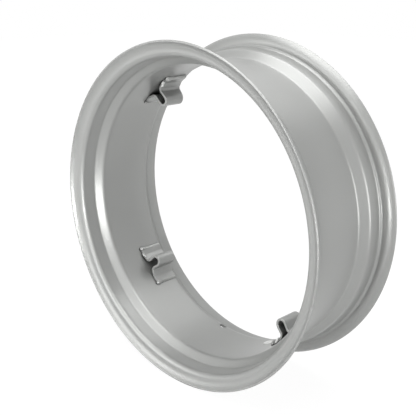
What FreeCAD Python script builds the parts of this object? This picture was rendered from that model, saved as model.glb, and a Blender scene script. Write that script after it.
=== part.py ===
import FreeCAD, Part
import math
import os
import Sketcher

# Drop-centre tractor rim with four loop lugs.
# The wheel turns about Y and the rim's middle is at the origin, with Z up.

# Driving dimensions: millimetres, and degrees where the name says angle.
SIZES = {
    "bead_radius": 304.8,
    "flange_height": 25.4,
    "flange_gap": 203.2,
    "sheet_wall": 4.5,
    "seat_angle": 5.0,
    "bead_fillet": 6.0,
    "curl_rise": 19.2,
    "curl_bend": 23.0,
    "well_drop": 16.8,
    "well_width": 114.0,
    "well_angle": 43.0,
    "well_bend": 9.0,
    "seat_bend": 12.0,
    "valve_bore": 15.7,
    "valve_place": 56.0,
    "valve_angle": 7.0,
    "strap_wall": 5.0,
    "loop_height": 28.5,
    "loop_bore": 16.0,
    "shoulder_place": 17.5,
    "shoulder_lift": 4.5,
    "shoulder_bend": 8.0,
    "foot_bend": 14.0,
    "foot_pad": 10.0,
    "foot_span": 80.0,
    "foot_width": 55.0,
    "crest_width": 45.0,
    "edge_round": 0.8,
    "lug_place": 29.5,
    "lug_angle": 39.9,
    "weld_leg": 5.0,
    "weld_height": 4.0,
    "weld_crown": 7.0,
    "weld_margin": 1.5,
}
# Radii that follow from the sizes, as formulas of the sheet
FOLLOWING = {
    "lip_radius": "=bead_radius + flange_height",
    "curl_start": "=lip_radius - curl_rise",
    "well_radius": "=bead_radius - well_drop",
    "loop_circle": "=well_radius - sheet_wall - loop_height",
}
LUG_COUNT = 4
# A strap's face counts as one of its cut sides when its normal lies this near to the axle line
SIDE_FACING = 0.9

doc = FreeCAD.newDocument("tractor_rim")
sheet = doc.addObject("Spreadsheet::Sheet", "Sizes")
for row, (name, value) in enumerate([*SIZES.items(), *FOLLOWING.items()], start=1):
    sheet.set(f"A{row}", name)
    sheet.set(f"B{row}", str(value))
    sheet.setAlias(f"B{row}", name)
doc.recompute()


def size(name):
    """The value that the sheet holds under a name."""
    return float(sheet.get(name))


def point(x, y):
    return FreeCAD.Vector(x, y, 0)


def polar(radius, angle):
    """The point at a radius and an angle in degrees from the sketch's first axis."""
    turn = math.radians(angle)
    return point(radius * math.cos(turn), radius * math.sin(turn))


class Section:
    """A sketch on one of a body's own origin planes, whose sizes follow the sheet."""

    ORIGIN = (-1, 1)
    FIRST_AXIS = -1
    SECOND_AXIS = -2
    START, END, CENTRE = 1, 2, 3

    def __init__(self, body, plane, name):
        self.sketch = body.newObject("Sketcher::SketchObject", name)
        support = next(f for f in body.Origin.OriginFeatures if f.Role == plane)
        self.sketch.AttachmentSupport = (support, [""])
        self.sketch.MapMode = "FlatFace"

    def line(self, first, last):
        return self.sketch.addGeometry(Part.LineSegment(first, last), False)

    def arc(self, centre, radius, first_angle, last_angle):
        """An arc that runs anticlockwise from its first angle to its last, in degrees."""
        circle = Part.Circle(centre, FreeCAD.Vector(0, 0, 1), radius)
        ends = math.radians(first_angle), math.radians(last_angle)
        return self.sketch.addGeometry(Part.ArcOfCircle(circle, *ends), False)

    def circle(self, centre, radius):
        circle = Part.Circle(centre, FreeCAD.Vector(0, 0, 1), radius)
        return self.sketch.addGeometry(circle, False)

    def marker(self, place):
        """A construction point, for a corner that a bend rounds off."""
        return self.sketch.addGeometry(Part.Point(place), True)

    def rule(self, kind, *parts):
        return self.sketch.addConstraint(Sketcher.Constraint(kind, *parts))

    def bind(self, formula, kind, *parts):
        """A dimension that follows a formula of the sheet's names."""
        index = self.rule(kind, *parts)
        self.sketch.setExpression(f"Constraints[{index}]", formula)

    def endpoint(self, part, place):
        return self.sketch.getPoint(part, place)

    def across(self, formula, part, place):
        """Distance of a point from the origin along the first axis."""
        distance = self.endpoint(part, place).x
        self.bind(formula, "DistanceX", *self.ORIGIN, part, place, distance)

    def along(self, formula, part, place):
        """Distance of a point from the origin along the second axis."""
        distance = self.endpoint(part, place).y
        self.bind(formula, "DistanceY", *self.ORIGIN, part, place, distance)

    def radius(self, formula, part):
        value = self.sketch.Geometry[part].Radius
        self.bind(formula, "Radius", part, value)

    def smooth(self, first, first_place, second, second_place):
        """Two parts that meet end to end with one direction."""
        self.rule("Tangent", first, first_place, second, second_place)

    def meet(self, first, first_place, second, second_place):
        self.rule("Coincident", first, first_place, second, second_place)


def new_body(label):
    body = doc.addObject("PartDesign::Body", label)
    body.Label = label
    return body


def plane_of(body, role):
    return next(f for f in body.Origin.OriginFeatures if f.Role == role)


def mirror(body, features, role, name):
    """Both halves of what a body's features make, mirrored on one of its origin planes."""
    copy = body.newObject("PartDesign::Mirrored", name)
    copy.Originals = features
    copy.MirrorPlane = (plane_of(body, role), [""])
    body.Tip = copy
    return copy


def pad_both_ways(body, section, formula, name):
    """A section thickened by equal amounts to both sides of its plane."""
    pad = body.newObject("PartDesign::Pad", name)
    pad.Profile = section.sketch
    pad.SideType = "Symmetric"
    pad.setExpression("Length", formula)
    body.Tip = pad
    return pad


def turn_about_axle(body, formula):
    """A body turned about the axle line by an angle that follows the sheet."""
    axle = FreeCAD.Vector(0, 1, 0)
    body.Placement = FreeCAD.Placement(FreeCAD.Vector(), FreeCAD.Rotation(axle, 1))
    body.setExpression("Placement.Rotation.Angle", formula)


def rim_section(body):
    """Half of the rolled section: first axis is the radius, second axis the distance from the middle."""
    wall = size("sheet_wall")
    half_gap = size("flange_gap") / 2
    half_well = size("well_width") / 2
    slope, seat = size("well_angle"), size("seat_angle")
    well_bend, seat_bend = size("well_bend"), size("seat_bend")
    bead_fillet, curl_bend = size("bead_fillet"), size("curl_bend")
    well, bead, curl_start = size("well_radius"), size("bead_radius"), size("curl_start")

    # Corners of the tyre side before they are rounded: foot of the well's slope, end of the bead seat, flange root
    slope_tan, seat_tan = math.tan(math.radians(slope)), math.tan(math.radians(seat))
    seat_at_slope = bead - (half_gap - half_well) * seat_tan
    seat_end = half_well + (seat_at_slope - well) / (slope_tan - seat_tan)
    slope_foot = point(well, half_well)
    seat_corner = point(bead - (half_gap - seat_end) * seat_tan, seat_end)
    flange_root = point(bead, half_gap)

    # Centres of the bends
    well_centre = point(well + well_bend, half_well - well_bend * math.tan(math.radians(slope / 2)))
    seat_reach = seat_bend * math.tan(math.radians((slope - seat) / 2))
    seat_centre = seat_corner - polar(seat_reach, 90 - slope) + polar(seat_bend, 180 - slope)
    bead_reach = bead_fillet * math.tan(math.radians((90 - seat) / 2))
    bead_centre = flange_root + point(bead_reach, -bead_fillet)
    curl_centre = point(curl_start, half_gap + curl_bend)
    lip_centre_radius = size("lip_radius") - wall / 2
    curl = math.degrees(math.asin((lip_centre_radius - curl_start) / (curl_bend - wall / 2)))
    lip_centre = curl_centre + polar(curl_bend - wall / 2, curl - 90)

    s = Section(body, "XY_Plane", "rim_half_section")
    # Each bend: centre, radius on the tyre side, change of radius on the inner side, first and last angle
    bends = [
        (well_centre, well_bend, wall, 180 - slope, 180),
        (seat_centre, seat_bend, -wall, -slope, -seat),
        (bead_centre, bead_fillet, wall, 90, 180 - seat),
        (curl_centre, curl_bend, -wall, -90, curl - 90),
    ]
    # A bend to the right runs against its arc, a bend to the left with it
    entry = [s.END, s.START, s.END, s.START]
    leave = [s.START, s.END, s.START, s.END]

    def side(change):
        """Bends and straights of one side, from the middle of the well to the lip."""
        arcs = [s.arc(c, r + change * step, a, b) for c, r, step, a, b in bends]
        starts = [point(well - change * wall, 0)]
        starts += [s.endpoint(arc, place) for arc, place in zip(arcs, leave)]
        straights = [s.line(first, s.endpoint(arc, place)) for first, arc, place in zip(starts, arcs, entry)]
        for straight, arc, place in zip(straights, arcs, entry):
            s.smooth(straight, s.END, arc, place)
        for arc, place, straight in zip(arcs, leave, straights[1:]):
            s.smooth(arc, place, straight, s.START)
        return arcs, straights

    outer_arcs, outer_lines = side(0)
    inner_arcs, inner_lines = side(1)
    lip = s.arc(lip_centre, wall / 2, curl - 90, curl + 90)
    s.smooth(outer_arcs[3], s.END, lip, s.START)
    s.smooth(inner_arcs[3], s.END, lip, s.END)
    middle = s.line(s.endpoint(inner_lines[0], s.START), s.endpoint(outer_lines[0], s.START))
    s.meet(middle, s.START, inner_lines[0], s.START)
    s.meet(middle, s.END, outer_lines[0], s.START)
    s.rule("PointOnObject", middle, s.START, s.FIRST_AXIS)
    s.rule("PointOnObject", middle, s.END, s.FIRST_AXIS)

    # Bends of the two sides share their centres
    names = ["well_bend", "seat_bend", "bead_fillet", "curl_bend"]
    for name, outer, inner, (_, _, step, _, _) in zip(names, outer_arcs, inner_arcs, bends):
        sign = "+" if step > 0 else "-"
        s.meet(outer, s.CENTRE, inner, s.CENTRE)
        s.radius(f"Sizes.{name}", outer)
        s.radius(f"Sizes.{name} {sign} Sizes.sheet_wall", inner)

    # Floor of the well, its slope, the bead seat and the flange
    floor, incline, seat_line, flange = outer_lines
    s.rule("Vertical", floor)
    s.across("Sizes.well_radius", floor, s.START)
    corner = s.marker(slope_foot)
    s.rule("PointOnObject", corner, s.START, floor)
    s.rule("PointOnObject", corner, s.START, incline)
    s.along("Sizes.well_width / 2", corner, s.START)
    s.bind("90 - Sizes.well_angle", "Angle", incline, math.radians(90 - slope))
    s.bind("90 - Sizes.seat_angle", "Angle", seat_line, math.radians(90 - seat))
    s.rule("Horizontal", flange)
    root = s.marker(flange_root)
    s.rule("PointOnObject", root, s.START, seat_line)
    s.rule("PointOnObject", root, s.START, flange)
    s.across("Sizes.bead_radius", root, s.START)
    s.along("Sizes.flange_gap / 2", root, s.START)
    s.across("Sizes.curl_start", outer_arcs[3], s.CENTRE)
    s.across("Sizes.lip_radius - Sizes.sheet_wall / 2", lip, s.CENTRE)
    return s


def make_rim():
    """The rolled rim: half a section turned about the axle line, mirrored, with the valve hole."""
    body = new_body("rim")
    section = rim_section(body)
    doc.recompute()
    half = body.newObject("PartDesign::Revolution", "rim_half")
    half.Profile = section.sketch
    half.ReferenceAxis = (section.sketch, ["V_Axis"])
    half.Angle = 360
    body.Tip = half
    doc.recompute()
    mirror(body, [half], "XZ_Plane", "rim_whole")
    doc.recompute()

    valve = Section(body, "XY_Plane", "valve_circle")
    hole = valve.circle(point(0, size("valve_place")), size("valve_bore") / 2)
    valve.rule("PointOnObject", hole, valve.CENTRE, valve.SECOND_AXIS)
    valve.along("Sizes.valve_place", hole, valve.CENTRE)
    valve.radius("Sizes.valve_bore / 2", hole)
    cut = body.newObject("PartDesign::Pocket", "valve_hole")
    cut.Profile = valve.sketch
    cut.setExpression("Length", "Sizes.lip_radius")
    body.Tip = cut
    turn_about_axle(body, "Sizes.valve_angle")
    return body


def loop_section(body):
    """Half of the bent strap, seen along the axle line: loop, leg, shoulder, ramp and the foot on the well."""
    wall, bore = size("strap_wall"), size("loop_bore") / 2
    seat = size("well_radius") - size("sheet_wall")
    bend, foot_bend = size("shoulder_bend"), size("foot_bend")
    loop_mean = bore + wall / 2
    shoulder_circle = seat - wall / 2 - size("shoulder_lift") - bend
    shoulder_x = size("shoulder_place")
    shoulder = point(shoulder_x, math.sqrt(shoulder_circle ** 2 - shoulder_x ** 2))
    loop = point(0, size("loop_circle"))

    # Directions, from the centres of the bends, of the points where straight parts touch them
    touch = 90 - math.degrees(math.asin((size("foot_span") / 2 - size("foot_pad")) / seat))
    foot_end = 90 - math.degrees(math.asin(size("foot_span") / 2 / seat))
    foot = polar(seat - wall / 2 - foot_bend, touch)
    leg_gap = shoulder - loop
    leg_turn = math.degrees(math.acos((loop_mean + bend) / leg_gap.Length))
    leave = math.degrees(math.atan2(leg_gap.y, leg_gap.x)) - leg_turn
    ramp_gap = foot - shoulder
    ramp_turn = math.degrees(math.acos((bend - foot_bend) / ramp_gap.Length))
    ramp = math.degrees(math.atan2(ramp_gap.y, ramp_gap.x)) + ramp_turn
    origin = point(0, 0)

    s = Section(body, "XZ_Plane", "strap_half_section")

    def side(loop_radius, offset):
        """Loop, leg, shoulder, ramp and foot of one face of the strap, offset outwards from its middle."""
        round_part = s.arc(loop, loop_radius, -90, leave)
        turn = s.arc(shoulder, bend + offset, ramp, leave + 180)
        heel = s.arc(foot, foot_bend + offset, touch, ramp)
        pad = s.arc(origin, seat - wall / 2 + offset, foot_end, touch)
        leg = s.line(s.endpoint(round_part, s.END), s.endpoint(turn, s.END))
        slope = s.line(s.endpoint(turn, s.START), s.endpoint(heel, s.END))
        s.smooth(round_part, s.END, leg, s.START)
        s.smooth(leg, s.END, turn, s.END)
        s.smooth(turn, s.START, slope, s.START)
        s.smooth(slope, s.END, heel, s.END)
        s.smooth(heel, s.START, pad, s.END)
        s.rule("PointOnObject", round_part, s.START, s.SECOND_AXIS)
        s.meet(pad, s.CENTRE, *s.ORIGIN)
        return round_part, turn, heel, pad

    outside = side(bore + wall, -wall / 2)
    inside = side(bore, wall / 2)
    for first, second in zip(outside[:3], inside[:3]):
        s.meet(first, s.CENTRE, second, s.CENTRE)
    crest = s.line(s.endpoint(outside[0], s.START), s.endpoint(inside[0], s.START))
    s.meet(crest, s.START, outside[0], s.START)
    s.meet(crest, s.END, inside[0], s.START)
    end = s.line(s.endpoint(outside[3], s.START), s.endpoint(inside[3], s.START))
    s.meet(end, s.START, outside[3], s.START)
    s.meet(end, s.END, inside[3], s.START)
    s.rule("PointOnObject", *s.ORIGIN, end)
    s.across("Sizes.foot_span / 2", end, s.END)
    s.across("Sizes.foot_span / 2 - Sizes.foot_pad", inside[3], s.END)

    s.rule("PointOnObject", inside[0], s.CENTRE, s.SECOND_AXIS)
    s.along("Sizes.loop_circle", inside[0], s.CENTRE)
    s.radius("Sizes.loop_bore / 2", inside[0])
    s.radius("Sizes.loop_bore / 2 + Sizes.strap_wall", outside[0])
    s.across("Sizes.shoulder_place", inside[1], s.CENTRE)
    s.bind("Sizes.well_radius - Sizes.sheet_wall - Sizes.strap_wall / 2 - Sizes.shoulder_lift - Sizes.shoulder_bend",
           "Distance", *s.ORIGIN, inside[1], s.CENTRE, shoulder_circle)
    for arc, name in ((1, "shoulder_bend"), (2, "foot_bend")):
        s.radius(f"Sizes.{name} + Sizes.strap_wall / 2", inside[arc])
        s.radius(f"Sizes.{name} - Sizes.strap_wall / 2", outside[arc])
    s.radius("Sizes.well_radius - Sizes.sheet_wall", inside[3])
    return s


def taper_section(body):
    """The two wedges that narrow the strap from its feet to the crest of its loop."""
    foot = size("well_radius") - size("sheet_wall")
    crest = size("loop_circle") - size("loop_bore") / 2 - size("strap_wall")
    wide, narrow = size("foot_width") / 2, size("crest_width") / 2
    s = Section(body, "YZ_Plane", "strap_taper")
    for sign in (1, -1):
        corners = [point(sign * wide, foot), point(sign * wide, crest), point(sign * narrow, crest)]
        edges = [s.line(p, q) for p, q in zip(corners, corners[1:] + corners[:1])]
        for first, second in zip(edges, edges[1:] + edges[:1]):
            s.meet(first, s.END, second, s.START)
        s.rule("Vertical", edges[0])
        s.rule("Horizontal", edges[1])
        mark = "" if sign > 0 else "-"
        s.across(f"{mark}Sizes.foot_width / 2", edges[0], s.START)
        s.across(f"{mark}Sizes.crest_width / 2", edges[2], s.START)
        s.along("Sizes.well_radius - Sizes.sheet_wall", edges[0], s.START)
        s.along("Sizes.loop_circle - Sizes.loop_bore / 2 - Sizes.strap_wall", edges[2], s.START)
    return s


def place_on_well(body, index):
    """A lug's place: its own share of the turn, and its distance behind the rim's middle."""
    turn_about_axle(body, f"{360 / LUG_COUNT * index} - Sizes.lug_angle")
    body.setExpression("Placement.Base.y", "Sizes.lug_place")


def side_edges(shape):
    """Names of the edges that bound a strap's two cut sides."""
    names = []
    for number, edge in enumerate(shape.Edges, start=1):
        faces = shape.ancestorsOfType(edge, Part.Face)
        cut_faces = [face for face in faces if abs(face.normalAt(0, 0).y) > SIDE_FACING]
        if len(cut_faces) == 1:
            names.append(f"Edge{number}")
    return names


def make_lug(index):
    """A strap bent into a loop, with its two feet lying on the inner wall of the well."""
    body = new_body(f"loop_lug_{index + 1}")
    section = loop_section(body)
    doc.recompute()
    half = pad_both_ways(body, section, "Sizes.foot_width", "strap_half")
    doc.recompute()
    whole = mirror(body, [half], "YZ_Plane", "strap_whole")
    doc.recompute()
    taper = body.newObject("PartDesign::Pocket", "strap_waist")
    taper.Profile = taper_section(body).sketch
    taper.SideType = "Symmetric"
    taper.Type = "ThroughAll"
    body.Tip = taper
    doc.recompute()
    rounding = body.newObject("PartDesign::Fillet", "sheared_edges")
    rounding.Base = (taper, side_edges(taper.Shape))
    rounding.setExpression("Radius", "Sizes.edge_round")
    body.Tip = rounding
    place_on_well(body, index)
    return body


def make_welds(index):
    """The two fillet beads that hold a lug, one against the end of each foot."""
    body = new_body(f"lug_welds_{index + 1}")
    seat = size("well_radius") - size("sheet_wall")
    foot_end = 90 - math.degrees(math.asin(size("foot_span") / 2 / seat))
    toe = foot_end - math.degrees(size("weld_leg") / seat)
    low = polar(seat - size("weld_height"), foot_end)
    root = polar(seat, foot_end)
    far = polar(seat, toe)
    crown = size("weld_crown")
    chord = far - low
    depth = math.sqrt(crown ** 2 - (chord.Length / 2) ** 2)
    across = FreeCAD.Vector(-chord.y, chord.x, 0).normalize()
    centre = (low + far) * 0.5 + across * depth
    first = math.degrees(math.atan2(low.y - centre.y, low.x - centre.x))
    last = math.degrees(math.atan2(far.y - centre.y, far.x - centre.x))

    s = Section(body, "XZ_Plane", "weld_section")
    side = s.line(low, root)
    wall = s.arc(point(0, 0), seat, toe, foot_end)
    bead = s.arc(centre, crown, first, last)
    s.meet(side, s.END, wall, s.END)
    s.meet(side, s.START, bead, s.START)
    s.meet(wall, s.START, bead, s.END)
    s.meet(wall, s.CENTRE, *s.ORIGIN)
    s.rule("PointOnObject", *s.ORIGIN, side)
    s.across("Sizes.foot_span / 2", side, s.END)
    s.radius("Sizes.well_radius - Sizes.sheet_wall", wall)
    s.bind("Sizes.weld_height", "Distance", side, size("weld_height"))
    s.bind("Sizes.weld_leg", "Distance", wall, s.START, side, s.END, size("weld_leg"))
    s.radius("Sizes.weld_crown", bead)
    doc.recompute()
    one = pad_both_ways(body, s, "Sizes.foot_width - 2 * Sizes.weld_margin", "weld_bead")
    doc.recompute()
    mirror(body, [one], "YZ_Plane", "weld_pair")
    place_on_well(body, index)
    return body


parts = [make_rim()]
for lug in range(LUG_COUNT):
    parts.append(make_lug(lug))
    parts.append(make_welds(lug))
doc.recompute()

for item in doc.Objects:
    if "Invalid" in item.State or "Error" in item.State:
        raise RuntimeError(f"{item.Label} did not build: {item.State}")
for part in parts:
    if part.Shape.isNull() or not part.Shape.isValid():
        raise RuntimeError(f"{part.Label} has no sound shape")

os.makedirs("parts", exist_ok=True)
for part in parts:
    part.Shape.exportStep(f"parts/{part.Label}.step")
    box = part.Shape.BoundBox
    print(f"{part.Label}: {len(part.Shape.Solids)} solid, {part.Shape.Volume / 1000:.1f} cm3, "
          f"{box.XLength:.1f} x {box.YLength:.1f} x {box.ZLength:.1f} mm")
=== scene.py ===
"""Looks of a drop-centre tractor rim with four loop lugs, in silver paint on a white floor."""
import bmesh
import bpy
import math
import random
from mathutils import Matrix, Vector


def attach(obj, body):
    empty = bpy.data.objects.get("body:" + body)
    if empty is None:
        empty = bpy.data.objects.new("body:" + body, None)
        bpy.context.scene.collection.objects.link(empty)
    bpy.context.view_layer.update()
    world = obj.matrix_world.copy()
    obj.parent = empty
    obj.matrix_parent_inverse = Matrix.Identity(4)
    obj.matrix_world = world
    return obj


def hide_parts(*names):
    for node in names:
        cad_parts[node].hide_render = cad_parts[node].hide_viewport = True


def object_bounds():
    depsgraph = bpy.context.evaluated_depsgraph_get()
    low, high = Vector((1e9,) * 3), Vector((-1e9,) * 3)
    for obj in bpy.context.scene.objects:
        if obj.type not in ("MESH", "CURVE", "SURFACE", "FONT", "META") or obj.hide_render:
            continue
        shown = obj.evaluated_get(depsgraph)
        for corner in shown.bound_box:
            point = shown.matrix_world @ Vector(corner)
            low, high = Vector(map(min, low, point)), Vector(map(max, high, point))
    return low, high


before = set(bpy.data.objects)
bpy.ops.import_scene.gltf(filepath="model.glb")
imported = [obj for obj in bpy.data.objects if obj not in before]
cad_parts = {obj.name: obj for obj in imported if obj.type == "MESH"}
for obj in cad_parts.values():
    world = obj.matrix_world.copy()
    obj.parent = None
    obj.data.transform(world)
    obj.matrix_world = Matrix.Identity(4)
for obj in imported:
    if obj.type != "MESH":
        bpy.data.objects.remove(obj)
cad_low, cad_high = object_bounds()
scene = bpy.context.scene
scene.view_settings.view_transform = "Standard"

# Sizes of the part, in metres
LUG_COUNT = 4
LUG_TURN = math.radians(90)
LUG_START = math.radians(-39.9)
LUG_PLACE = 0.0295
WELL_INSIDE = 0.2835
FOOT_SPAN = 0.080
FOOT_WIDTH = 0.055

# Rolled rim: where its section starts and closes, steps round it, and longest run of the section
SEAM_TURN = math.radians(7)
RIM_STEPS = 288
RUN_LENGTH = 0.005
# How near points count as on the cut or as one, and the angle past which an edge is sharp
ON_PLANE = 0.000002
SHARP_ANGLE = math.radians(40)
# Valve hole, and the drill that makes it
VALVE_BORE = 0.0157
VALVE_PLACE = 0.056
VALVE_SEGMENTS = 40
DRILL_LENGTH = WELL_INSIDE / 4

# Weld bead: radius of its round face, and how far that face's centre lies behind the corner
BEAD_RADIUS = 0.0064
BEAD_SINK = 0.0009
BEAD_SEGMENTS = 28
BEAD_OVERRUN = 0.0010
BEAD_SEED = 11
# Ripples of a bead: length, steps in each, depth and unevenness as shares of the radius
RIPPLE_LENGTH = 0.0026
RIPPLE_STEPS = 4
RIPPLE_DEPTH = 0.13
RIPPLE_JITTER = 0.03
# Blunt ends of a bead: size at the very end, and how fast it grows to full size
END_SIZE = 0.72
END_GROWTH = 5
# Lump where a run starts, at the front: how much it swells, and its half length
LUMP_SWELL = 0.38
LUMP_LENGTH = 0.0055
# Tack of weld metal on a strap's front edge: lumps, their size, and where the row starts and ends on the ramp
TACK_LUMPS = 4
TACK_RADIUS = 0.0030
TACK_FROM = (0.0225, 0.2752)
TACK_TO = (0.0300, 0.2782)
TACK_INSET = 0.0008
TACK_SCATTER = 0.0015
TACK_STRETCH = (0.75, 1.15)
# Low smears of weld metal on the wall beside one lug: turn from it, place along the axle line, half sizes
SMEAR_LUG = 3
SMEARS = (
    (math.radians(11.9), 0.038, (0.0050, 0.0050, 0.0016)),
    (math.radians(17.2), 0.034, (0.0115, 0.0100, 0.0026)),
)
LUMP_SUBDIVISIONS = 3
# The tacks and smears of two lugs are left bare, in the second material of their piece, whose light colour
# also paints in their highlight
BARE_GLINT_LUGS = (1, 3)
BARE_GLINT_SLOT = 1

# Colours
SILVER = (0.305, 0.309, 0.302, 1)
SILVER_DULL = (0.275, 0.279, 0.272, 1)
SILVER_THIN = (0.40, 0.405, 0.396, 1)
# Bare weld metal, made light partly as a painted highlight
BARE_GLINT = (0.72, 0.725, 0.715, 1)
# Near-black of the painted shade in corners and inside the loops
SHADE_BLACK = (0.05, 0.05, 0.047, 1)
WHITE = (1, 1, 1, 1)
# Silver paint: how metallic it is, and its index of refraction
PAINT_METALLIC = 0.45
PAINT_IOR = 1.5
# Roughness of the paint where the coat is wet and where it is dry
GLOSS_ROUGHNESS = 0.33
DULL_ROUGHNESS = 0.38
# Noise in the paint: flake specks, uneven spray and dry patches, and the parts of the noise that count
FLAKE_SCALE = 2600
FLAKE_DETAIL = 1
SPRAY_SCALE = 7
NOISE_CORE = (0.3, 0.7)
SPRAY_SHARE = (0.15, 0.75)
PATCH_SCALE = 12
PATCH_CORE = (0.35, 0.7)
# Orange peel: its scale and height on the sheet, the straps and the welds
PEEL_DETAIL = 2
PEEL_STRENGTH = 0.12
PEEL_SCALE = 420
WELD_PEEL_SCALE = 700
RIM_PEEL_HEIGHT = 0.00012
LUG_PEEL_HEIGHT = 0.00014
WELD_PEEL_HEIGHT = 0.00030
# How far the painted shade in corners reaches, in metres, and the openness over which it fades out
SHADE_REACH = 0.022
WELD_SHADE_REACH = 0.005
SHADE_OPENNESS = (0.35, 0.75)
SHADE_SAMPLES = 8

# White floor: its glow, the distances between which its shadow fades out, and the glow's share at each
FLOOR_LEVEL = cad_low[2]
FLOOR_HALF = 8
FLOOR_COLOUR = (0.8, 0.8, 0.8, 1)
FLOOR_ROUGHNESS = 0.9
FLOOR_GLOW = 1.06
FLOOR_FADE = (0.7, 2.2)
FLOOR_SHARE = (0.9, 0.945)
# Ambient light of the white surround
AMBIENT = 0.09
# Soft boxes: place, the point they face, width, height, power in watts, and spread
CENTRE = (0, 0, 0)
WIDE = math.pi
NARROW = math.radians(50)
SOFT_BOXES = {
    "overhead": ((0.0, 0.1, 2.2), CENTRE, 2.2, 2.0, 46, WIDE),
    "overhead_back": ((0.0, 1.3, 2.2), CENTRE, 2.0, 1.2, 10, WIDE),
    "overhead_front": ((0.0, -1.4, 2.2), CENTRE, 2.0, 1.2, 23, WIDE),
    "front_left": ((-0.8, -2.4, 0.7), CENTRE, 2.6, 2.0, 45, WIDE),
    "front": ((1.5, -2.2, 0.2), CENTRE, 0.4, 1.1, 8, WIDE),
    "low_front": ((0.8, -1.5, -0.22), (-0.32, -0.1, 0.02), 0.8, 0.2, 1.5, NARROW),
    "right_strip": ((1.7, 0.25, 0.1), CENTRE, 0.2, 1.0, 10, WIDE),
}
# Camera of the photograph: where it stands, which way it looks, and its lens and sensor in millimetres
CAMERA_PLACE = Vector((0.9785, -1.0107, 0.4298))
CAMERA_LOOK = Vector((-0.67448, 0.67861, -0.29082))
CAMERA_LENS = 65.0
CAMERA_SENSOR = 36

# Sockets of a Mix node for each kind of blend: first input, second input and output
MIX_SOCKETS = {"FLOAT": (2, 3, 0), "RGBA": (6, 7, 2)}


# Shader node groups

def feed(tree, socket, value):
    """Links a node's input to another node's output, or sets it to a plain value."""
    if isinstance(value, bpy.types.NodeSocket):
        tree.links.new(value, socket)
    else:
        socket.default_value = value


def new_group(name, inputs, outputs):
    """An empty shader group with named sockets; gives the tree, its input node and its output node."""
    tree = bpy.data.node_groups.new(name, "ShaderNodeTree")
    for socket, kind in inputs.items():
        tree.interface.new_socket(socket, in_out="INPUT", socket_type=kind)
    for socket, kind in outputs.items():
        tree.interface.new_socket(socket, in_out="OUTPUT", socket_type=kind)
    return tree, tree.nodes.new("NodeGroupInput"), tree.nodes.new("NodeGroupOutput")


def noise(tree, vector, scale, detail=0):
    """A noise texture on a vector, whose scale is a number or a socket."""
    node = tree.nodes.new("ShaderNodeTexNoise")
    feed(tree, node.inputs["Vector"], vector)
    feed(tree, node.inputs["Scale"], scale)
    node.inputs["Detail"].default_value = detail
    return node.outputs["Fac"]


def remap(tree, value, source, target=(0.0, 1.0)):
    """A value moved from one range to another, and held inside it."""
    node = tree.nodes.new("ShaderNodeMapRange")
    feed(tree, node.inputs["Value"], value)
    for socket, number in zip(("From Min", "From Max", "To Min", "To Max"), (*source, *target)):
        node.inputs[socket].default_value = number
    return node.outputs["Result"]


def mixed(tree, kind, factor, first, second):
    """A blend of two numbers or two colours, each a socket or a plain value."""
    node = tree.nodes.new("ShaderNodeMix")
    node.data_type = kind
    first_socket, second_socket, blended = MIX_SOCKETS[kind]
    feed(tree, node.inputs["Factor"], factor)
    feed(tree, node.inputs[first_socket], first)
    feed(tree, node.inputs[second_socket], second)
    return node.outputs[blended]


def silver_flake_group():
    """Aluminium flake in the paint: a fine sparkle of lighter and darker specks, and soft uneven spray."""
    sockets = {"Vector": "NodeSocketVector", "Light": "NodeSocketColor", "Dark": "NodeSocketColor"}
    tree, into, out = new_group("silver_flake", sockets, {"Color": "NodeSocketColor"})
    light = into.outputs["Light"]
    specks = remap(tree, noise(tree, into.outputs["Vector"], FLAKE_SCALE, FLAKE_DETAIL), NOISE_CORE)
    spray = remap(tree, noise(tree, into.outputs["Vector"], SPRAY_SCALE), NOISE_CORE, SPRAY_SHARE)
    speckled = mixed(tree, "RGBA", specks, into.outputs["Dark"], light)
    feed(tree, out.inputs["Color"], mixed(tree, "RGBA", spray, speckled, light))
    return tree


def sprayed_gloss_group():
    """Roughness of sprayed enamel: a little duller where the coat is dry."""
    sockets = {"Vector": "NodeSocketVector", "Gloss": "NodeSocketFloat", "Dull": "NodeSocketFloat"}
    tree, into, out = new_group("sprayed_gloss", sockets, {"Roughness": "NodeSocketFloat"})
    dry = remap(tree, noise(tree, into.outputs["Vector"], PATCH_SCALE), PATCH_CORE)
    sprayed = mixed(tree, "FLOAT", dry, into.outputs["Gloss"], into.outputs["Dull"])
    feed(tree, out.inputs["Roughness"], sprayed)
    return tree


def orange_peel_group():
    """Height of the paint's skin, a fine orange peel."""
    sockets = {"Vector": "NodeSocketVector", "Scale": "NodeSocketFloat"}
    tree, into, out = new_group("orange_peel", sockets, {"Height": "NodeSocketFloat"})
    skin = noise(tree, into.outputs["Vector"], into.outputs["Scale"], PEEL_DETAIL)
    feed(tree, out.inputs["Height"], skin)
    return tree


def painted_shade_group():
    """Painted shade: 1 in corners and inside the loops, which the ambient occlusion finds hidden, and 0 on
    open faces.
    """
    tree, into, out = new_group("painted_shade", {"Reach": "NodeSocketFloat"}, {"Mask": "NodeSocketFloat"})
    hidden = tree.nodes.new("ShaderNodeAmbientOcclusion")
    hidden.samples = SHADE_SAMPLES
    feed(tree, hidden.inputs["Distance"], into.outputs["Reach"])
    feed(tree, out.inputs["Mask"], remap(tree, hidden.outputs["AO"], SHADE_OPENNESS, (1.0, 0.0)))
    return tree


FLAKE = silver_flake_group()
GLOSS = sprayed_gloss_group()
PEEL = orange_peel_group()
CORNER_SHADE = painted_shade_group()


# Materials

def place_group(tree, group, values):
    """A group's node in a material, with each named input linked to a socket or set to a value."""
    node = tree.nodes.new("ShaderNodeGroup")
    node.node_tree = group
    for socket, value in values.items():
        feed(tree, node.inputs[socket], value)
    return node


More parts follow.
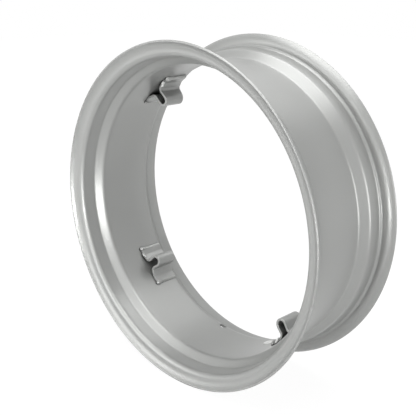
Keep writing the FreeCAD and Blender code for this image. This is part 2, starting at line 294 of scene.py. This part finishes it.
def silver_paint(name, light, dark, reach, peel_scale, peel_height):
    """Silver enamel on steel, with painted shade darkening its corners."""
    material = bpy.data.materials.new(name)
    material.use_nodes = True
    tree = material.node_tree
    shader = tree.nodes["Principled BSDF"]
    where = tree.nodes.new("ShaderNodeTexCoord").outputs["Object"]

    flake = place_group(tree, FLAKE, {"Vector": where, "Light": light, "Dark": dark})
    painted_shade = place_group(tree, CORNER_SHADE, {"Reach": reach})
    # Painted shade: corners and the insides of the loops are darkened towards near-black
    shaded = mixed(tree, "RGBA", painted_shade.outputs["Mask"], flake.outputs["Color"], SHADE_BLACK)
    feed(tree, shader.inputs["Base Color"], shaded)

    sheen = place_group(tree, GLOSS, {"Vector": where, "Gloss": GLOSS_ROUGHNESS, "Dull": DULL_ROUGHNESS})
    feed(tree, shader.inputs["Roughness"], sheen.outputs["Roughness"])

    skin = place_group(tree, PEEL, {"Vector": where, "Scale": peel_scale})
    bump = tree.nodes.new("ShaderNodeBump")
    bump.inputs["Strength"].default_value = PEEL_STRENGTH
    bump.inputs["Distance"].default_value = peel_height
    feed(tree, bump.inputs["Height"], skin.outputs["Height"])
    feed(tree, shader.inputs["Normal"], bump.outputs["Normal"])

    shader.inputs["Metallic"].default_value = PAINT_METALLIC
    shader.inputs["IOR"].default_value = PAINT_IOR
    return material


RIM_SKIN = (SHADE_REACH, PEEL_SCALE, RIM_PEEL_HEIGHT)
LUG_SKIN = (SHADE_REACH, PEEL_SCALE, LUG_PEEL_HEIGHT)
WELD_SKIN = (WELD_SHADE_REACH, WELD_PEEL_SCALE, WELD_PEEL_HEIGHT)
RIM_PAINT = silver_paint("rim_silver_paint", SILVER, SILVER_DULL, *RIM_SKIN)
LUG_PAINT = silver_paint("lug_silver_paint", SILVER, SILVER_DULL, *LUG_SKIN)
WELD_PAINT = silver_paint("weld_silver_paint", SILVER_THIN, SILVER, *WELD_SKIN)
# Bare weld metal on the tacks and smears, lightened to paint in their highlight
BARE_GLINT_WELD = silver_paint("bare_glinting_weld", BARE_GLINT, SILVER_THIN, *WELD_SKIN)


def paint(node, material):
    """A CAD piece's own slots, all in one paint."""
    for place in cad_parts[node].material_slots:
        place.material = material


for number in range(1, LUG_COUNT + 1):
    paint(f"loop_lug_{number}", LUG_PAINT)


# Rolled rim

def whole(bm):
    """All the vertices, edges and faces of a bmesh."""
    return list(bm.verts) + list(bm.edges) + list(bm.faces)


def linked_object(name, bm):
    """A mesh object made from a bmesh, which is freed."""
    mesh = bpy.data.meshes.new(name)
    bm.to_mesh(mesh)
    bm.free()
    piece = bpy.data.objects.new(name, mesh)
    scene.collection.objects.link(piece)
    return piece


def rim_section():
    """The rim's closed section, cut from a copy of its CAD mesh where the rolling starts, in short runs."""
    bm = bmesh.new()
    bm.from_mesh(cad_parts["rim"].data)
    bmesh.ops.remove_doubles(bm, verts=bm.verts, dist=ON_PLANE)
    across = (math.sin(SEAM_TURN), 0, math.cos(SEAM_TURN))
    bmesh.ops.bisect_plane(bm, geom=whole(bm), dist=ON_PLANE, plane_co=CENTRE, plane_no=across,
                           clear_inner=True, clear_outer=True)
    far_side = [vert for vert in bm.verts if vert.co.x < 0]
    bmesh.ops.delete(bm, geom=far_side, context="VERTS")
    for edge in list(bm.edges):
        cuts = int(edge.calc_length() / RUN_LENGTH)
        if cuts:
            bmesh.ops.subdivide_edges(bm, edges=[edge], cuts=cuts)
    return bm


def valve_drill():
    """A drill for the valve hole, through the lower wall."""
    bm = bmesh.new()
    place = Matrix.Rotation(SEAM_TURN, 4, "Y") @ Matrix.Translation((0, VALVE_PLACE, -WELL_INSIDE))
    bmesh.ops.create_cone(bm, cap_ends=True, segments=VALVE_SEGMENTS, radius1=VALVE_BORE / 2,
                          radius2=VALVE_BORE / 2, depth=DRILL_LENGTH, matrix=place)
    return linked_object("valve_drill", bm)


def rolled_rim():
    """The rim turned from its section in fine steps, for smooth lips and bends, and drilled for the valve."""
    bm = rim_section()
    bmesh.ops.spin(bm, geom=list(bm.verts) + list(bm.edges), cent=CENTRE, axis=(0, 1, 0),
                   angle=math.tau, steps=RIM_STEPS, use_merge=True)
    bmesh.ops.remove_doubles(bm, verts=bm.verts, dist=ON_PLANE)
    bmesh.ops.recalc_face_normals(bm, faces=bm.faces)
    piece = linked_object("rolled_rim", bm)
    piece.data.materials.append(RIM_PAINT)
    drill = valve_drill()
    hole = piece.modifiers.new("valve_hole", "BOOLEAN")
    hole.operation = "DIFFERENCE"
    hole.solver = "EXACT"
    hole.object = drill
    drilled = bpy.data.meshes.new_from_object(piece.evaluated_get(bpy.context.evaluated_depsgraph_get()))
    piece.modifiers.clear()
    piece.data = drilled
    bpy.data.objects.remove(drill)
    drilled.shade_smooth()
    drilled.set_sharp_from_angle(angle=SHARP_ANGLE)
    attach(piece, "root")
    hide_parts("rim")


rolled_rim()


# Weld beads

def bead_rings(bm, length, rough):
    """A round rod along Z with the ripples of a weld run, closed at both ends."""
    ring = bmesh.ops.create_circle(bm, segments=BEAD_SEGMENTS, radius=BEAD_RADIUS)["verts"]
    edges = list(dict.fromkeys(edge for vert in ring for edge in vert.link_edges))
    steps = round(length / RIPPLE_LENGTH) * RIPPLE_STEPS
    swell = 1.0
    for step in range(1, steps + 1):
        grown = bmesh.ops.extrude_edge_only(bm, edges=edges)["geom"]
        ring = [item for item in grown if isinstance(item, bmesh.types.BMVert)]
        edges = [item for item in grown if isinstance(item, bmesh.types.BMEdge)]
        edges = [edge for edge in edges if all(vert in ring for vert in edge.verts)]
        phase = (step % RIPPLE_STEPS) / RIPPLE_STEPS
        end = min(step, steps - step) / steps
        blunt = min(1.0, END_SIZE + END_GROWTH * end)
        lump = LUMP_SWELL * math.exp(-((length * step / steps) / LUMP_LENGTH - 1) ** 2)
        ripple = RIPPLE_DEPTH * (phase - 0.5) + rough.uniform(-RIPPLE_JITTER, RIPPLE_JITTER)
        new_swell = blunt * (1 + lump + ripple)
        bmesh.ops.translate(bm, verts=ring, vec=(0, 0, length / steps))
        bmesh.ops.scale(bm, verts=ring, vec=(new_swell / swell, new_swell / swell, 1))
        swell = new_swell
    open_edges = [edge for edge in bm.edges if edge.is_boundary]
    bmesh.ops.holes_fill(bm, edges=open_edges)


def cut_back(bm, normal):
    """Takes away what lies behind a face that the bead is laid against, and closes the cut."""
    cut = bmesh.ops.bisect_plane(bm, geom=whole(bm), plane_co=CENTRE, plane_no=normal, clear_inner=True)
    cut_edges = [item for item in cut["geom_cut"] if isinstance(item, bmesh.types.BMEdge)]
    bmesh.ops.holes_fill(bm, edges=cut_edges)


def weld_bead(bm, turn, side, rough):
    """One fillet run against the end of a foot: side is 1 or -1."""
    length = FOOT_WIDTH + 2 * BEAD_OVERRUN
    bead = bmesh.new()
    bead_rings(bead, length, rough)
    bmesh.ops.translate(bead, verts=bead.verts, vec=(-BEAD_SINK, -BEAD_SINK, -length / 2))
    cut_back(bead, (1, 0, 0))
    cut_back(bead, (0, 1, 0))

    # Bead frame: X along the wall away from the foot, Y towards the axle line, Z along it
    outward = turn + side * math.asin(FOOT_SPAN / 2 / WELL_INSIDE)
    radial = Vector((math.sin(outward), 0, math.cos(outward)))
    along_wall = side * Vector((math.cos(outward), 0, -math.sin(outward)))
    place = Matrix((along_wall, -radial, (0, 1, 0))).transposed().to_4x4()
    place.translation = radial * WELL_INSIDE + Vector((0, LUG_PLACE, 0))
    bmesh.ops.transform(bead, matrix=place, verts=bead.verts)
    bmesh.ops.recalc_face_normals(bead, faces=bead.faces)

    # The run joins the lug's other welds by way of a mesh
    mesh = bpy.data.meshes.new("bead")
    bead.to_mesh(mesh)
    bead.free()
    bm.from_mesh(mesh)
    bpy.data.meshes.remove(mesh)


def edge_tack(bm, turn, rough):
    """A few lumps of weld metal on the front edge of the strap, beside one foot."""
    radial = Vector((math.sin(turn), 0, math.cos(turn)))
    along_wall = Vector((math.cos(turn), 0, -math.sin(turn)))
    front = LUG_PLACE - FOOT_WIDTH / 2 + TACK_INSET
    for lump in range(TACK_LUMPS):
        share = lump / (TACK_LUMPS - 1)
        across, up = (a + (b - a) * share for a, b in zip(TACK_FROM, TACK_TO))
        place = along_wall * across + radial * up + Vector((0, front + rough.uniform(0, TACK_SCATTER), 0))
        stretch = Matrix.Diagonal([rough.uniform(*TACK_STRETCH) for _ in range(3)]).to_4x4()
        where = Matrix.Translation(place) @ stretch
        bmesh.ops.create_icosphere(bm, subdivisions=LUMP_SUBDIVISIONS, radius=TACK_RADIUS, matrix=where)


def wall_smears(bm, turn):
    """Low smears of weld metal on the well's wall, past the end of one foot."""
    for beyond, along, half_sizes in SMEARS:
        place = Matrix.Rotation(turn + beyond, 4, "Y") @ Matrix.Translation((0, along, WELL_INSIDE))
        flat = Matrix.Diagonal(half_sizes).to_4x4()
        bmesh.ops.create_icosphere(bm, subdivisions=LUMP_SUBDIVISIONS, radius=1, matrix=place @ flat)


def lug_welds(number, rough):
    """The two beads of one lug, its tack and its smears, as one piece."""
    bm = bmesh.new()
    turn = LUG_START + (number - 1) * LUG_TURN
    for side in (1, -1):
        weld_bead(bm, turn, side, rough)
    painted = set(bm.faces)
    edge_tack(bm, turn, rough)
    if number == SMEAR_LUG:
        wall_smears(bm, turn)
    for face in bm.faces:
        face.smooth = True
        if number in BARE_GLINT_LUGS and face not in painted:
            face.material_index = BARE_GLINT_SLOT
    piece = linked_object(f"weld_run_{number}", bm)
    piece.data.materials.append(WELD_PAINT)
    if number in BARE_GLINT_LUGS:
        piece.data.materials.append(BARE_GLINT_WELD)
    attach(piece, "root")
    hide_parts(f"lug_welds_{number}")


bead_rough = random.Random(BEAD_SEED)
for number in range(1, LUG_COUNT + 1):
    lug_welds(number, bead_rough)


# Floor, light and camera

def seen_white(tree):
    """1 for rays from the camera and for reflections, which see the surround as plain white."""
    path = tree.nodes.new("ShaderNodeLightPath")
    seen = path.outputs["Is Camera Ray"]
    for kind in ("Is Glossy Ray", "Is Transmission Ray"):
        either = tree.nodes.new("ShaderNodeMath")
        either.operation = "MAXIMUM"
        feed(tree, either.inputs[0], seen)
        feed(tree, either.inputs[1], path.outputs[kind])
        seen = either.outputs[0]
    return seen


def blended_shader(tree, share, first, second):
    """One shader that turns into another by a share."""
    blend = tree.nodes.new("ShaderNodeMixShader")
    feed(tree, blend.inputs["Fac"], share)
    feed(tree, blend.inputs[1], first)
    feed(tree, blend.inputs[2], second)
    return blend.outputs["Shader"]


def white_floor():
    """A white floor that keeps a soft shadow and is white where the camera and reflections see it lit."""
    bm = bmesh.new()
    bmesh.ops.create_grid(bm, x_segments=1, y_segments=1, size=FLOOR_HALF)
    bmesh.ops.translate(bm, verts=bm.verts, vec=(0, 0, FLOOR_LEVEL))
    floor = linked_object("floor", bm)
    material = bpy.data.materials.new("white_floor")
    material.use_nodes = True
    tree = material.node_tree
    shader = tree.nodes["Principled BSDF"]
    shader.inputs["Base Color"].default_value = FLOOR_COLOUR
    shader.inputs["Roughness"].default_value = FLOOR_ROUGHNESS
    glow = tree.nodes.new("ShaderNodeEmission")
    glow.inputs["Color"].default_value = WHITE
    glow.inputs["Strength"].default_value = FLOOR_GLOW
    away = tree.nodes.new("ShaderNodeVectorMath")
    away.operation = "LENGTH"
    feed(tree, away.inputs[0], tree.nodes.new("ShaderNodeTexCoord").outputs["Object"])
    share = tree.nodes.new("ShaderNodeMath")
    share.operation = "MULTIPLY"
    feed(tree, share.inputs[0], seen_white(tree))
    feed(tree, share.inputs[1], remap(tree, away.outputs["Value"], FLOOR_FADE, FLOOR_SHARE))
    lit = blended_shader(tree, share.outputs[0], shader.outputs["BSDF"], glow.outputs["Emission"])
    feed(tree, tree.nodes["Material Output"].inputs["Surface"], lit)
    floor.data.materials.append(material)


def white_world():
    """A white surround for the camera and for reflections, at a lower level as ambient light."""
    world = bpy.data.worlds.new("studio")
    scene.world = world
    world.use_nodes = True
    tree = world.node_tree
    tree.nodes.clear()
    out = tree.nodes.new("ShaderNodeOutputWorld")
    soft = tree.nodes.new("ShaderNodeBackground")
    soft.inputs["Color"].default_value = WHITE
    soft.inputs["Strength"].default_value = AMBIENT
    plain = tree.nodes.new("ShaderNodeBackground")
    plain.inputs["Color"].default_value = WHITE
    lit = blended_shader(tree, seen_white(tree), soft.outputs["Background"], plain.outputs["Background"])
    feed(tree, out.inputs["Surface"], lit)


def soft_box(name, place, target, width, height, power, spread):
    """A rectangular studio lamp that faces a point; a grid in front of it may narrow its spread."""
    lamp = bpy.data.lights.new(name, "AREA")
    lamp.shape = "RECTANGLE"
    lamp.size = width
    lamp.size_y = height
    lamp.energy = power
    lamp.spread = spread
    item = bpy.data.objects.new(name, lamp)
    item.location = place
    item.rotation_euler = (Vector(target) - Vector(place)).to_track_quat("-Z", "Y").to_euler()
    scene.collection.objects.link(item)


def photo_camera():
    """The camera at the photograph's place, level, with the photograph's lens."""
    lens = bpy.data.cameras.new("photo_camera")
    lens.lens = CAMERA_LENS
    lens.sensor_width = CAMERA_SENSOR
    camera = bpy.data.objects.new("photo_camera", lens)
    right = CAMERA_LOOK.cross(Vector((0, 0, 1))).normalized()
    up = right.cross(CAMERA_LOOK)
    camera.matrix_world = Matrix((right, up, -CAMERA_LOOK)).transposed().to_4x4()
    camera.location = CAMERA_PLACE
    scene.collection.objects.link(camera)
    scene.camera = camera


white_floor()
white_world()
for name, setting in SOFT_BOXES.items():
    soft_box(name, *setting)
photo_camera()
